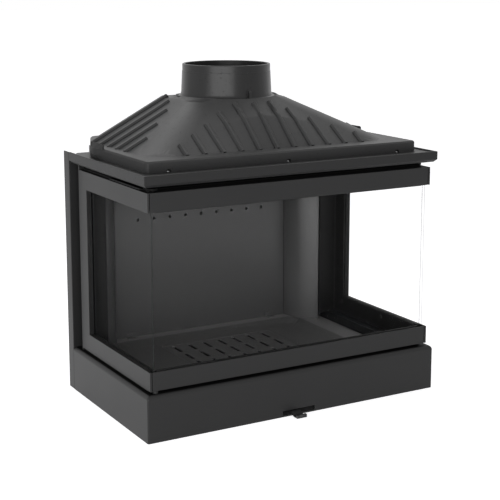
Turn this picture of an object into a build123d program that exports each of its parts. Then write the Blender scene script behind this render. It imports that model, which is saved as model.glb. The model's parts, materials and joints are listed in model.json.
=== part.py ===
"""Three-sided glazed fireplace insert with a ribbed cast-iron smoke hood, in millimetres.

+X runs along the width, +Y to the back, +Z up. The origin is on the floor, in the middle of the
insert. The front glass faces -Y. Depths are counted from the plinth's front face.
"""
import os

from build123d import *

# Overall size
overall_width = 716.0
overall_depth = 500.0
lever_reach = 20.0
knob_length = 6.0
front = (lever_reach + knob_length - overall_depth) / 2
rear = front + overall_depth
half_width = overall_width / 2

# Plinth: folded sheet with a rounded top edge
plinth_height = 100.0
plinth_from_rear = 106.0
plinth_depth = overall_depth - plinth_from_rear
plinth_sheet = 3.0
plinth_round = 9.0
plinth_flange = 48.0
corner_fold = 3.0

# Rear columns: upright channels behind the side windows
column_depth = 30.0
column_return = 28.0
column_sheet = 3.0
body_depth = plinth_depth + column_depth

# Deck: shallow cast tray that roofs the firebox
deck_bottom = 523.0
deck_height = 24.0
deck_wall = 5.0
deck_return = 14.0
deck_bevel = 6.0
deck_rim = 5.0
deck_recess = 3.0
deck_rim_round = 1.2
deck_floor = 3.0
deck_corner_cut_x = 20.0
deck_corner_cut_y = 22.0
deck_corner_cut_depth = 6.0
tongue_side = 50.0
tongue_splay = 42.0
deck_opening_margin = 58.0
deck_opening_front = 80.0
deck_opening_back = 30.0
deck_top = deck_bottom + deck_height
deck_seat = deck_top - deck_recess
deck_underside = deck_seat - deck_floor
tongue_rear_half = half_width - tongue_side - tongue_splay

# Glazed frames and the door
frame_inset = 11.0
frame_seal = 5.0
frame_bottom = plinth_height + frame_seal
frame_to_deck = 12.0
frame_top = deck_bottom - frame_to_deck
bar_height = 40.0
frame_skin = 4.0
frame_thickness = 15.0
frame_setback = 30.5
frame_rear = plinth_depth - frame_setback
post_width = 39.5
rebate_lap = 8.0
glass_thickness = 4.0
tape_thickness = 1.0
retainer_sheet = 2.5
retainer_width = 16.0
retainer_relief = 2.0
seal_setback = 4.0
frame_outer = half_width - frame_inset
skin_inner = frame_outer - frame_skin
frame_inner = frame_outer - frame_thickness
window_bottom = frame_bottom + bar_height
window_top = frame_top - bar_height
window_rear = frame_rear - post_width

# Front door
door_top = frame_top
door_depth = 16.0
door_sheet = 2.5
door_gap = 2.0
door_box = 28.0
door_end_block = 22.0
door_rear = frame_inset + door_depth
door_half = skin_inner - door_gap
hinge_from_end = 8.0
hinge_from_face = 5.0
hinge_radius = 3.0
hinge_fit = 0.05
hinge_collar_radius = 6.0
hinge_engagement = 20.0
hinge_plate = 4.0
hinge_margin = 4.0
pivot_x = -(door_half - hinge_from_end)
pivot_y = front + frame_inset + hinge_from_face
door_glass_end = 4.5
door_glass_half = door_half - door_glass_end
side_glass_front = 21.0
glass_notch = 2.0
frame_body_front = 31.0
door_seal_gap = 0.3
door_seal_end = 8.0
lower_seal = (4.0, 16.0)
upper_seal = (22.0, 8.0)
swing_radius = (hinge_from_end ** 2 + hinge_from_face ** 2) ** 0.5
swing_room = 1.0
bar_edge_round = 0.8

# Cross members that the door closes on
sill_sheet = 3.0
sill_foot = 16.0
sill_end = 3.0
sill_top = window_bottom - 5.0
header_bottom = window_top + 5.0
header_shelf = 11.0

# Catch that holds the door shut
catch_from_end = 41.0
catch_x = door_half - catch_from_end
catch_width = 20.0
catch_sheet = 3.0
catch_height = 26.0
catch_z = frame_bottom + catch_height
catch_play = 3.0
catch_root_above = 2.0
catch_root_below = 8.0
catch_reach = 12.0
catch_clip_fit = 0.3
catch_clip_sheet = 1.5
catch_clip_length = 16.0
catch_clip_foot = 8.0

# Firebox floor
pan_sheet = 3.0
pan_depth_below = 40.0
pan_front = 50.0
pan_from_rear = 38.0
pan_rear = overall_depth - pan_from_rear
pan_margin = 50.0
pan_half = half_width - pan_margin
pan_rim = 22.0
pan_corner_x = 66.0
pan_corner_y = 75.0
pan_corner_draw = 0.4
pan_floor = plinth_height - pan_depth_below
hearth_base = pan_floor + pan_sheet
hearth_edge = 20.0
hearth_dish = 11.0
dish_side_ledge = 50.0
dish_side_slope = 33.0
dish_half_top = pan_half - dish_side_ledge
dish_half_bottom = dish_half_top - dish_side_slope
dish_end_slope = 31.0
dish_front_top = 85.0
dish_front_bottom = dish_front_top + dish_end_slope
dish_rear_ledge = 28.0
dish_rear_top = pan_rear - dish_rear_ledge
dish_rear_bottom = dish_rear_top - dish_end_slope
dish_corner = 30.0
dish_floor_corner = 20.0
hearth_clearance = 0.5
ledge_top = hearth_base + hearth_edge
grate_level = ledge_top - hearth_dish

# Grate
grate_width = 285.0
grate_depth = 184.0
grate_centre = 284.0
grate_thickness = 7.0
grate_gap = 1.5
grate_seat = 6.0
grate_corner = 4.0
slot_columns = 7
slot_rows = 3
slot_pitch_x = 39.6
slot_pitch_y = 61.0
slot_width = 10.0
slot_length = 46.0

# Ash box, ash pan and air control
ash_sheet = 3.0
ash_half = 150.0
ash_front = 180.0
ash_rear = 388.0
ash_bottom = 12.0
ash_flange = 12.0
pan_rail_height = 9.0
pan_rail_width = 8.0
pan_rail_x = 130.0
ash_pan_gap = 6.5
ash_pan_sheet = 2.0
ash_pan_height = 32.0
ash_pan_corner = 6.0
air_slots = 3
air_slot_pitch = 84.0
air_slot_width = 28.0
air_slot_length = 90.0
air_travel = 54.0
air_position = 19.0
slide_sheet = 3.0
slide_fit = 0.3
slide_width = 110.0
slide_margin = 8.0
slide_rail_lap = 6.0
slide_rail_half = 155.0
slide_rail_opening = 45.0
lever_width = 24.0
lever_drop = 8.0
lever_bend = 8.0
knob_height = 7.5
knob_round = 1.5
notch_width = 80.5
notch_bottom = 3.5
notch_height = 10.0

# Rear casing and linings
casing_sheet = 4.0
casing_corner_width = 128.0
casing_lid_lap = 12.0
casing_rear_half = half_width - casing_corner_width
jamb_width = 62.0
jamb_inner = frame_outer - jamb_width
lining_plate = 5.0
lining_space = 49.0
lining_front = overall_depth - lining_space
lining_corner_width = 52.5
lining_half = jamb_inner - lining_corner_width
baffle_room = 31.0
lining_top = deck_underside - baffle_room
corner_gap = 1.5
corner_front = frame_rear + casing_sheet + corner_gap
corner_bulge = 13.0
lining_seam = 1.0
air_hole_count = 9
air_hole_pitch = 41.8
air_hole_radius = 4.0
air_hole_height = 366.0
clip_from_end = 41.5
clip_x = lining_half - clip_from_end
clip_width = 20.0
clip_height = 12.0
clip_foot = 14.0
clip_sheet = 3.0
bracket_x = 150.0
bracket_width = 30.0
bracket_height = 30.0
bracket_sheet = 3.0

# Roof of the firebox, under the deck
roof_wall = 4.0
roof_inset = 23.0
roof_front = 38.0
roof_seal = 2.0
roof_seal_lap = 2.0
wash_plate = 3.0
wash_corner = 20.0
wash_rear = 196.0
baffle_thickness = 25.0
baffle_corner = 12.0
baffle_corner_cut_x = 48.0
baffle_corner_cut_y = 66.0
baffle_margin = 78.0
baffle_half = half_width - baffle_margin
baffle_front = 150.0
baffle_back_gap = 5.0
baffle_rear = lining_front - baffle_back_gap
rail_lap = 15.0
rail_shelf_inner = baffle_half - rail_lap
rail_start = 10.0
rail_sheet = 3.0
rail_height = 28.0

# Smoke hood
hood_margin_side = 25.0
hood_margin_front = 47.0
hood_wall = 8.0
flange_rise = 20.0
flange_top = deck_top + flange_rise
flange_edge = 3.0
flange_corner = 9.0
flange_straight = 330.0
flange_back_margin = 12.0
flange_rear = overall_depth - flange_back_margin
flange_rear_cut = 66.0
flange_rear_corner = 24.0
lug_front = 262.0
lug_rear = 328.0
lug_reach = 14.0
lug_flat = 8.0
lug_below = 14.0
lug_above = 10.0
lug_bottom = flange_top - lug_below
lug_top = flange_top + lug_above
lug_edge = 2.0
notch_radius = 5.5
notch_depth = 7.0
foot_notch_margin = 51.0
slope_sink = 2.0
slope_base = flange_top - slope_sink
slope_front = 92.0
slope_side = 54.0
slope_straight = 388.0
slope_ledge_rear = 20.0
slope_rear = flange_rear - slope_ledge_rear
slope_rear_cut = 38.0
slope_corner = 60.0
slope_rear_corner = 30.0
flue_centre = 322.0
slope_rise = 92.0
head_half = 127.0
head_front = 238.0
head_straight = 388.0
head_rear = 460.0
head_rear_cut = 18.0
head_corner = 45.0
head_rear_corner = 14.0
neck_radius = 115.0
neck_height = 4.0
neck_steps = ((3.0, 8.0), (9.0, 15.0), (20.0, 25.0), (42.0, 50.0))
neck_bore_depth = 60.0
head_level = slope_base + slope_rise
collar_base = head_level + neck_height
rib_pitch = 43.6
rib_radius = 6.5
rib_faces = 8
rib_sink = 1.0
front_rib_hip = 32.0
front_rib_gain = 0.578
front_rib_margin = 10.0
neck_rib_half = 60.0
neck_rib_knee = 83.0
neck_rib_out = 10.0
neck_rib_down = 15.0
side_rib_hip = 68.5
side_rib_gain = 1.03
side_rib_margin = 23.0
side_rib_start = 118.0
side_ribs = 5

# Flue collar
collar_height = 74.0
flue_top = collar_base + collar_height
flue_radius = 100.0
flue_bore = 94.0
hood_bore = 100.0
flue_land = 16.0
land_step = 0.6
collar_radius = 103.0
spigot_length = 8.0
spigot_fit = 0.4
lip_edge = 1.2
collar_flare = 9.0
gusset_width = 6.0
gusset_height = 24.0
gusset_reach = 10.0
gusset_shoulder = 16.0
gusset_draft = 1.0

# Fasteners
screw_head_radius = 4.5
foot_screw_radius = 2.3
foot_screw_count = 5
screw_head_height = 2.0
screw_from_end = 14.0

os.makedirs("parts", exist_ok=True)


def save(piece, name):
    """Label a finished piece and write it under its own name."""
    piece.part.label = name
    export_step(piece.part, f"parts/{name}.step")


def block(x_span, y_span, z_span, mode=Mode.ADD):
    """A rectangular block between two corners, as (low, high) along each axis."""
    spans = (x_span, y_span, z_span)
    with Locations(tuple((low + high) / 2 for low, high in spans)):
        Box(*(high - low for low, high in spans), mode=mode)


def facing(side, inner, outer):
    """The (low, high) of a stretch on the left (-1) or right (+1) of the middle plane."""
    return (min(side * inner, side * outer), max(side * inner, side * outer))


SIDES = ((-1, "left"), (1, "right"))

# Plinth: one folded skirt with a rounded top edge, a flat flange inside it and a slot for the lever
with BuildPart() as plinth:
    with BuildSketch():
        with Locations((0, front + plinth_depth / 2)):
            Rectangle(overall_width, plinth_depth)
    extrude(amount=plinth_height)
    front_corners = plinth.edges().filter_by(Axis.Z).group_by(Axis.Y)[0]
    fillet(front_corners, corner_fold)
    top_edges = plinth.faces().sort_by(Axis.Z)[-1].edges()
    fillet([e for e in top_edges if e.center().Y < front + plinth_depth - 1], plinth_round)
    with BuildSketch() as cavity:
        with Locations((0, front + plinth_sheet + plinth_depth / 2)):
            Rectangle(overall_width - 2 * plinth_sheet, plinth_depth)
    extrude(amount=plinth_height - plinth_sheet, mode=Mode.SUBTRACT)
    block((-half_width + plinth_flange, half_width - plinth_flange),
          (front + plinth_flange, front + plinth_depth),
          (plinth_height - 2 * plinth_sheet, plinth_height), Mode.SUBTRACT)
    block((-notch_width / 2, notch_width / 2), (front, front + plinth_sheet),
          (notch_bottom, notch_bottom + notch_height), Mode.SUBTRACT)
save(plinth, "plinth")

# Rear columns: channels, open inwards, whose outer web runs up behind the end of the deck
for side, word in SIDES:
    with BuildPart() as column:
        block(facing(side, half_width - column_return, half_width),
              (front + plinth_depth, front + body_depth), (0, deck_bottom))
        block(facing(side, half_width - column_return, half_width - column_sheet),
              (front + plinth_depth + column_sheet, front + body_depth - column_sheet),
              (0, deck_bottom), Mode.SUBTRACT)
        block(facing(side, half_width - column_sheet, half_width),
              (front + plinth_depth, front + body_depth), (deck_bottom, deck_top))
    save(column, f"{word}_column")

roof_half = half_width - roof_inset
# Rear casing: a bent wall around the back of the firebox, with jambs beside the windows and a lid
# on top that carries the deck's tongue
casing_half = half_width - column_return
casing_outline = [
    (-casing_half, front + frame_rear),
    (-casing_half, front + body_depth),
    (-casing_rear_half, rear),
    (casing_rear_half, rear),
    (casing_half, front + body_depth),
    (casing_half, front + frame_rear),
]


def tongue_outline(inset, start):
    """Plan of the deck's tongue behind its main part, drawn in all round, from a given depth."""
    side_x = half_width - tongue_side - inset
    rear_x = side_x - tongue_splay
    return [
        (-side_x, front + start),
        (-side_x, front + plinth_depth - inset / 2),
        (-rear_x, rear - inset),
        (rear_x, rear - inset),
        (side_x, front + plinth_depth - inset / 2),
        (side_x, front + start),
    ]


with BuildPart() as rear_casing:
    with BuildSketch() as wall:
        with BuildLine():
            bent = Polyline(*casing_outline)
            offset(bent, amount=casing_sheet, side=Side.RIGHT, kind=Kind.INTERSECTION)
        make_face()
    extrude(amount=deck_bottom)
    with BuildSketch(Plane.XY.offset(deck_bottom - casing_sheet)):
        with BuildLine():
            Polyline(*casing_outline, close=True)
        make_face()
        with BuildLine():
            Polyline(*tongue_outline(casing_lid_lap, frame_rear), close=True)
        make_face(mode=Mode.SUBTRACT)
    extrude(amount=casing_sheet)
    for side, _ in SIDES:
        block(facing(side, casing_half - casing_sheet, casing_half),
              (front + frame_rear, front + plinth_depth - deck_wall), (deck_bottom, deck_underside))
    for side, _ in SIDES:
        for outer, top in ((frame_outer, deck_bottom), (roof_half, deck_underside)):
            block(facing(side, jamb_inner, outer),
                  (front + frame_rear, front + frame_rear + casing_sheet), (plinth_height, top))
    block((-half_width, half_width), (front, front + plinth_depth), (0, plinth_height), Mode.SUBTRACT)
save(rear_casing, "rear_casing")


def floor_outline(clearance):
    """Corners of the firebox floor in plan, drawn in by a clearance all round."""
    side_x = pan_half - clearance
    back_y = front + pan_rear - clearance
    cut_x = pan_corner_x - clearance * pan_corner_draw
    cut_y = pan_corner_y - clearance * pan_corner_draw
    return [
        (-side_x, front + pan_front + clearance),
        (-side_x, back_y - cut_y),
        (-side_x + cut_x, back_y),
        (side_x - cut_x, back_y),
        (side_x, back_y - cut_y),
        (side_x, front + pan_front + clearance),
    ]


# Floor pan: a welded tray that hangs in the plinth by its rim
rim_outer = pan_half + pan_rim
with BuildPart() as floor_pan:
    with BuildSketch(Plane.XY.offset(pan_floor)):
        with BuildLine():
            Polyline(*floor_outline(0), close=True)
        make_face()
    extrude(amount=pan_depth_below)
    with BuildSketch(Plane.XY.offset(hearth_base)):
        with BuildLine():
            Polyline(*floor_outline(pan_sheet), close=True)
        make_face()
    extrude(amount=pan_depth_below, mode=Mode.SUBTRACT)
    with BuildSketch(Plane.XY.offset(plinth_height)):
        with Locations((0, front + (pan_front - pan_rim + frame_rear - pan_sheet) / 2)):
            Rectangle(2 * rim_outer, frame_rear - pan_sheet - pan_front + pan_rim)
        with Locations((0, front + pan_front + pan_sheet + pan_rear / 2)):
            Rectangle(2 * (pan_half - pan_sheet), pan_rear, mode=Mode.SUBTRACT)
    extrude(amount=pan_sheet)
    block((-ash_half + ash_sheet, ash_half - ash_sheet),
          (front + ash_front + ash_sheet, front + ash_rear - ash_sheet),
          (pan_floor, hearth_base), Mode.SUBTRACT)
save(floor_pan, "floor_pan")

# Hearth plate: cast floor with a sloped dish and a rebated opening for the grate
grate_half = grate_width / 2 + grate_gap
grate_front = front + grate_centre - grate_depth / 2 - grate_gap
grate_back = front + grate_centre + grate_depth / 2 + grate_gap
hearth_gap = pan_sheet + hearth_clearance
with BuildPart() as hearth_plate:
    with BuildSketch(Plane.XY.offset(hearth_base)):
        with BuildLine():
            Polyline(*floor_outline(hearth_gap), close=True)
        make_face()
    extrude(amount=hearth_edge)
    with BuildSketch(Plane.XY.offset(grate_level)):
        with Locations((0, front + (dish_front_bottom + dish_rear_bottom) / 2)):
            RectangleRounded(2 * dish_half_bottom, dish_rear_bottom - dish_front_bottom, dish_floor_corner)
    with BuildSketch(Plane.XY.offset(ledge_top)):
        with Locations((0, front + (dish_front_top + dish_rear_top) / 2)):
            RectangleRounded(2 * dish_half_top, dish_rear_top - dish_front_top, dish_corner)
    loft(ruled=True, mode=Mode.SUBTRACT)
    block((-grate_half, grate_half), (grate_front, grate_back),
          (grate_level - grate_thickness, grate_level), Mode.SUBTRACT)
    block((-grate_half + grate_seat, grate_half - grate_seat),
          (grate_front + grate_seat, grate_back - grate_seat), (hearth_base, grate_level), Mode.SUBTRACT)
save(hearth_plate, "hearth_plate")

# Grate: lifts out of its rebate to reach the ash pan
with BuildPart() as grate:
    with BuildSketch(Plane.XY.offset(grate_level - grate_thickness)):
        with Locations((0, front + grate_centre)):
            RectangleRounded(grate_width, grate_depth, grate_corner)
            with GridLocations(slot_pitch_x, slot_pitch_y, slot_columns, slot_rows):
                Rectangle(slot_width, slot_length, mode=Mode.SUBTRACT)
    extrude(amount=grate_thickness)
save(grate, "grate")

# Ash box: hangs under the floor pan, with air slots in its bottom and two rails for the pan
ash_inner = ash_half - ash_sheet
slot_row_y = front + (ash_front + ash_rear) / 2
with BuildPart() as ash_box:
    block((-ash_half, ash_half), (front + ash_front, front + ash_rear), (ash_bottom, pan_floor))
    block((-ash_half - ash_flange, ash_half + ash_flange),
          (front + ash_front - ash_flange, front + ash_rear + ash_flange),
          (pan_floor - ash_sheet, pan_floor))
    block((-ash_inner, ash_inner), (front + ash_front + ash_sheet, front + ash_rear - ash_sheet),
          (ash_bottom + ash_sheet, pan_floor), Mode.SUBTRACT)
    for side, _ in SIDES:
        block(facing(side, pan_rail_x, pan_rail_x + pan_rail_width),
              (front + ash_front + ash_sheet, front + ash_rear - ash_sheet),
              (ash_bottom + ash_sheet, ash_bottom + ash_sheet + pan_rail_height))
    with BuildSketch(Plane.XY.offset(ash_bottom)):
        with Locations((0, slot_row_y)):
            with GridLocations(air_slot_pitch, 0, air_slots, 1):
                Rectangle(air_slot_width, air_slot_length)
    extrude(amount=ash_sheet, mode=Mode.SUBTRACT)
save(ash_box, "ash_box")

# Ash pan: a folded tray on the two rails, under the grate
pan_base = ash_bottom + ash_sheet + pan_rail_height
tray_half = ash_inner - ash_pan_gap
tray_front = front + ash_front + ash_sheet + ash_pan_gap
tray_back = front + ash_rear - ash_sheet - ash_pan_gap
with BuildPart() as ash_pan:
    block((-tray_half, tray_half), (tray_front, tray_back), (pan_base, pan_base + ash_pan_height))
    fillet(ash_pan.edges().filter_by(Axis.Z), ash_pan_corner)
    offset(amount=-ash_pan_sheet, openings=ash_pan.faces().sort_by(Axis.Z)[-1])
save(ash_pan, "ash_pan")

# Air slide and its rails, under the ash box
slide_top = ash_bottom - slide_fit
slide_bottom = slide_top - slide_sheet
slide_front = slot_row_y - slide_width / 2
slide_back = slot_row_y + slide_width / 2
slot_reach = air_slot_pitch * (air_slots - 1) / 2 + air_slot_width / 2
slide_low = -slot_reach - slide_margin - air_travel + air_position
slide_high = slot_reach + slide_margin + air_position
with BuildPart() as air_slide:
    block((slide_low, slide_high), (slide_front, slide_back), (slide_bottom, slide_top))
    with BuildSketch(Plane.XY.offset(slide_bottom)):
        with Locations((air_position, slot_row_y)):
            with GridLocations(air_slot_pitch, 0, air_slots, 1):
                Rectangle(air_slot_width, air_slot_length)
    extrude(amount=slide_sheet, mode=Mode.SUBTRACT)
save(air_slide, "air_slide")

rail_bottom = slide_bottom - slide_fit - slide_sheet
rail_spans = (
    (-1, -slide_rail_half, -slide_rail_opening),
    (-1, slide_rail_opening, slide_rail_half),
    (1, -slide_rail_half, slide_rail_half),
)
with BuildPart() as slide_rails:
    for way, start, end in rail_spans:
        edge = slide_back if way > 0 else slide_front
        web = edge + way * slide_fit
        outer = web + way * slide_sheet
        lip = edge - way * slide_rail_lap
        block((start, end), (min(web, outer), max(web, outer)), (rail_bottom, ash_bottom))
        block((start, end), (min(lip, outer), max(lip, outer)), (rail_bottom, rail_bottom + slide_sheet))
save(slide_rails, "slide_rails")

# Air lever: a flat bar from the slide, bent down through the slot in the plinth, with a folded grip
lever_x = air_position - air_travel / 2
tip = front - lever_reach
with BuildPart() as air_lever:
    with BuildSketch(Plane.YZ.offset(lever_x - lever_width / 2)):
        with BuildLine():
            upper = slide_top
            lower = slide_top - lever_drop
            FilletPolyline(
                (slide_front, upper),
                (front + 2 * plinth_sheet, upper),
                (front - lever_reach / 2, lower),
                (tip, lower),
                radius=lever_bend,
            )
            FilletPolyline(
                (slide_front, upper - slide_sheet),
                (front + 2 * plinth_sheet, upper - slide_sheet),
                (front - lever_reach / 2, lower - slide_sheet),
                (tip, lower - slide_sheet),
                radius=lever_bend,
            )
            Line((slide_front, upper), (slide_front, upper - slide_sheet))
            Line((tip, lower), (tip, lower - slide_sheet))
        make_face()
    extrude(amount=lever_width)
    block((lever_x - lever_width / 2, lever_x + lever_width / 2), (tip - knob_length, tip),
          (lower - slide_sheet, lower - slide_sheet + knob_height))
    fillet(air_lever.faces().sort_by(Axis.Y)[0].edges().filter_by(Axis.X), knob_round)
save(air_lever, "air_lever")

# Strips of ceramic rope seal that carry the side frames on the plinth
with BuildPart() as frame_seals:
    for side, _ in SIDES:
        block(facing(side, frame_inner, frame_outer - seal_setback),
              (front + frame_body_front, front + frame_rear), (plinth_height, frame_bottom))
save(frame_seals, "frame_seals")

# Side frames: two bars and a rear post, open at the glazed front corner, rebated from the inside
rebate_outer = frame_inner + glass_thickness + tape_thickness
window = (window_bottom, window_top)
rebate = (window_bottom - rebate_lap, window_top + rebate_lap)
for side, word in SIDES:
    with BuildPart() as side_frame:
        block(facing(side, skin_inner, frame_outer), (front + frame_inset, front + frame_rear),
              (frame_bottom, frame_top))
        block(facing(side, frame_inner, skin_inner), (front + frame_body_front, front + frame_rear),
              (frame_bottom, frame_top))
        block(facing(side, frame_inner, frame_outer), (front + frame_inset, front + window_rear),
              window, Mode.SUBTRACT)
        block(facing(side, frame_inner, rebate_outer),
              (front + frame_inset, front + window_rear + rebate_lap), rebate, Mode.SUBTRACT)
        outer_face = side_frame.faces().sort_by(Axis.X)[0 if side < 0 else -1]
        fillet(outer_face.edges().filter_by(Axis.Y), bar_edge_round)
    save(side_frame, f"{word}_side_frame")

    with BuildPart() as side_tape:
        block(facing(side, rebate_outer - tape_thickness, rebate_outer),
              (front + frame_body_front, front + window_rear + rebate_lap), rebate)
        block(facing(side, rebate_outer - tape_thickness, rebate_outer),
              (front + frame_body_front, front + window_rear), window, Mode.SUBTRACT)
    save(side_tape, f"{word}_glass_tape")

    with BuildPart() as side_glass:
        block(facing(side, frame_inner, frame_inner + glass_thickness),
              (front + side_glass_front, front + window_rear + rebate_lap), rebate)
        for low, high in ((rebate[0], window_bottom + glass_notch), (window_top - glass_notch, rebate[1])):
            block(facing(side, frame_inner, frame_outer),
                  (front, pivot_y + swing_radius + swing_room), (low, high), Mode.SUBTRACT)
    save(side_glass, f"{word}_side_glass")

    retainer_front = front + frame_body_front + sill_sheet + retainer_relief
    retainer_back = front + window_rear + retainer_width
    with BuildPart() as side_retainer:
        block(facing(side, frame_inner - retainer_sheet, frame_inner), (retainer_front, retainer_back),
              (window_bottom - retainer_width, window_top + retainer_width))
        block(facing(side, frame_inner - retainer_sheet, frame_inner),
              (retainer_front, front + window_rear), window, Mode.SUBTRACT)
    save(side_retainer, f"{word}_glass_retainer")

# Hexagon-head screws that hold the side retainers
screw_lap = (retainer_width + rebate_lap) / 2
screw_rows = (window_bottom - screw_lap, window_top + screw_lap)
with BuildPart() as retainer_screws:
    for side, _ in SIDES:
        plane = Plane((side * (frame_inner - retainer_sheet), 0, 0), z_dir=(-side, 0, 0))
        for height in screw_rows:
            for depth in (retainer_front + screw_from_end, front + window_rear / 2,
                          retainer_back - screw_from_end):
                with BuildSketch(plane.shift_origin((side * (frame_inner - retainer_sheet), depth, height))):
                    RegularPolygon(screw_head_radius, 6)
                extrude(amount=screw_head_height)
save(retainer_screws, "retainer_screws")

# Door bars: a closed box along the edge with a face plate in front of the glass
glass_front = front + frame_inset + door_sheet
glass_back = glass_front + glass_thickness
door_rear_y = front + door_rear
bars = (
    ("bottom", frame_bottom, 1, window_bottom),
    ("top", door_top, -1, window_top),
)
for word, edge, way, lip in bars:
    box_inner = edge + way * door_box
    with BuildPart() as door_bar:
        with BuildSketch(Plane.YZ.offset(-door_half)):
            with BuildLine():
                Polyline(
                    (front + frame_inset, edge),
                    (door_rear_y, edge),
                    (door_rear_y, box_inner),
                    (glass_front, box_inner),
                    (glass_front, lip),
                    (front + frame_inset, lip),
                    close=True,
                )
            make_face()
        extrude(amount=2 * door_half)
        low, high = sorted((edge + way * door_sheet, box_inner - way * door_sheet))
        block((-door_half + door_end_block, door_half - door_end_block),
              (glass_front, door_rear_y - door_sheet), (low, high), Mode.SUBTRACT)
        bore_low, bore_high = sorted((edge, edge + way * (hinge_engagement + 1)))
        face_edges = door_bar.faces().sort_by(Axis.Y)[0].edges().filter_by(Axis.X)
        fillet(face_edges, bar_edge_round)
        with Locations((pivot_x, pivot_y, (bore_low + bore_high) / 2)):
            Cylinder(hinge_radius + hinge_fit, bore_high - bore_low, mode=Mode.SUBTRACT)
    save(door_bar, f"door_{word}_bar")

    retainer_y = glass_back + tape_thickness
    retainer_half = frame_inner - 2 * door_gap
    with BuildPart() as door_retainer:
        with BuildSketch(Plane.YZ.offset(-retainer_half)):
            with BuildLine():
                Polyline(
                    (glass_back, box_inner),
                    (door_rear_y, box_inner),
                    (door_rear_y, box_inner + way * retainer_sheet),
                    (retainer_y + retainer_sheet, box_inner + way * retainer_sheet),
                    (retainer_y + retainer_sheet, lip + way * retainer_relief),
                    (glass_back, lip + way * retainer_relief),
                    close=True,
                )
            make_face()
        extrude(amount=2 * retainer_half)
    save(door_retainer, f"door_{word}_retainer")

# Front glass, held top and bottom only
door_glass_low = frame_bottom + door_box
door_glass_high = door_top - door_box
with BuildPart() as door_glass:
    block((-door_glass_half, door_glass_half), (glass_front, glass_back), (door_glass_low, door_glass_high))
save(door_glass, "door_glass")

# Screws through the feet of the door retainers
screw_y = (retainer_y + retainer_sheet + door_rear_y) / 2
screw_step = 2 * retainer_half / foot_screw_count
with BuildPart() as door_screws:
    for foot, way in ((door_glass_low, 1), (door_glass_high, -1)):
        level = foot + way * (retainer_sheet + screw_head_height / 2)
        with BuildSketch(Plane.XY.offset(level)):
            with Locations((0, screw_y)):
                with GridLocations(screw_step, 0, foot_screw_count, 1):
                    RegularPolygon(foot_screw_radius, 6)
        extrude(amount=screw_head_height / 2, both=True)
save(door_screws, "door_screws")

# Rope seals on the back of the door, which close on the sill and the header
seal_half = retainer_half - door_seal_end
with BuildPart() as door_seal:
    for low, high in ((frame_bottom + lower_seal[0], frame_bottom + lower_seal[1]),
                      (door_top - upper_seal[0], door_top - upper_seal[1])):
        block((-seal_half, seal_half), (door_rear_y, front + frame_body_front - door_seal_gap), (low, high))
save(door_seal, "door_seal")

# Sill and header: fixed cross members behind the door's bars
sill_y = front + frame_body_front
with BuildPart() as door_sill:
    block((-frame_inner, frame_inner), (sill_y, sill_y + sill_sheet), (plinth_height + pan_sheet, sill_top))
    block((-frame_inner + sill_end, frame_inner - sill_end), (sill_y, sill_y + sill_foot),
          (plinth_height + pan_sheet, plinth_height + pan_sheet + sill_sheet))
    block((catch_x - catch_width / 2 - catch_play, catch_x + catch_width / 2 + catch_play),
          (sill_y, sill_y + sill_sheet),
          (catch_z - catch_sheet / 2 - catch_play, catch_z + catch_sheet / 2 + catch_play), Mode.SUBTRACT)
save(door_sill, "door_sill")

roof_base = frame_top + roof_seal
roof_y = front + roof_front
with BuildPart() as door_header:
    block((-frame_inner, frame_inner), (sill_y, sill_y + sill_sheet), (header_bottom, roof_base))
    block((-frame_inner, frame_inner), (sill_y, sill_y + header_shelf), (roof_base - sill_sheet, roof_base))
save(door_header, "door_header")

# Door catch: a tab on the door that a spring clip behind the sill grips
catch_span = (catch_x - catch_width / 2, catch_x + catch_width / 2)
with BuildPart() as catch_tab:
    block(catch_span, (door_rear_y, door_rear_y + catch_sheet),
          (catch_z - catch_root_below, catch_z + catch_root_above))
    block(catch_span, (door_rear_y, door_rear_y + catch_sheet + catch_reach),
          (catch_z - catch_sheet / 2, catch_z + catch_sheet / 2))
save(catch_tab, "catch_tab")

clip_y = sill_y + sill_sheet
clip_gap = catch_sheet / 2 + catch_clip_fit
with BuildPart() as catch_clip:
    for way in (1, -1):
        low, high = sorted((catch_z + way * clip_gap, catch_z + way * (clip_gap + catch_clip_sheet)))
        block(catch_span, (clip_y, clip_y + catch_clip_length), (low, high))
        low, high = sorted((catch_z + way * clip_gap, catch_z + way * (clip_gap + catch_clip_foot)))
        block(catch_span, (clip_y, clip_y + catch_clip_sheet), (low, high))
    block(catch_span, (clip_y + catch_clip_length - catch_clip_sheet, clip_y + catch_clip_length),
          (catch_z - clip_gap - catch_clip_sheet, catch_z + clip_gap + catch_clip_sheet))
save(catch_clip, "catch_clip")

# Roof frame: a fixed ring between the window frames and the deck
with BuildPart() as roof_frame:
    block((-roof_half, roof_half), (roof_y, front + frame_rear), (roof_base, deck_underside))
    block((-roof_half + roof_wall, roof_half - roof_wall), (roof_y + roof_wall, front + frame_rear),
          (roof_base, deck_underside), Mode.SUBTRACT)
save(roof_frame, "roof_frame")

with BuildPart() as roof_seals:
    for side, _ in SIDES:
        block(facing(side, frame_inner, roof_half + roof_seal_lap),
              (front + frame_body_front, front + frame_rear), (frame_top, roof_base))
save(roof_seals, "roof_seals")

# Air-wash plate: the thin lip with rounded corners over the glass
with BuildPart() as air_wash_plate:
    with BuildSketch(Plane.XY.offset(roof_base)):
        with Locations((0, (sill_y + front + wash_rear) / 2)):
            Rectangle(2 * frame_outer, wash_rear - frame_body_front)
    extrude(amount=wash_plate)
    fillet(air_wash_plate.edges().filter_by(Axis.Z).group_by(Axis.Y)[0], wash_corner)
    block((-roof_half, roof_half), (roof_y, front + wash_rear), (roof_base, roof_base + wash_plate),
          Mode.SUBTRACT)
save(air_wash_plate, "air_wash_plate")

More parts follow.
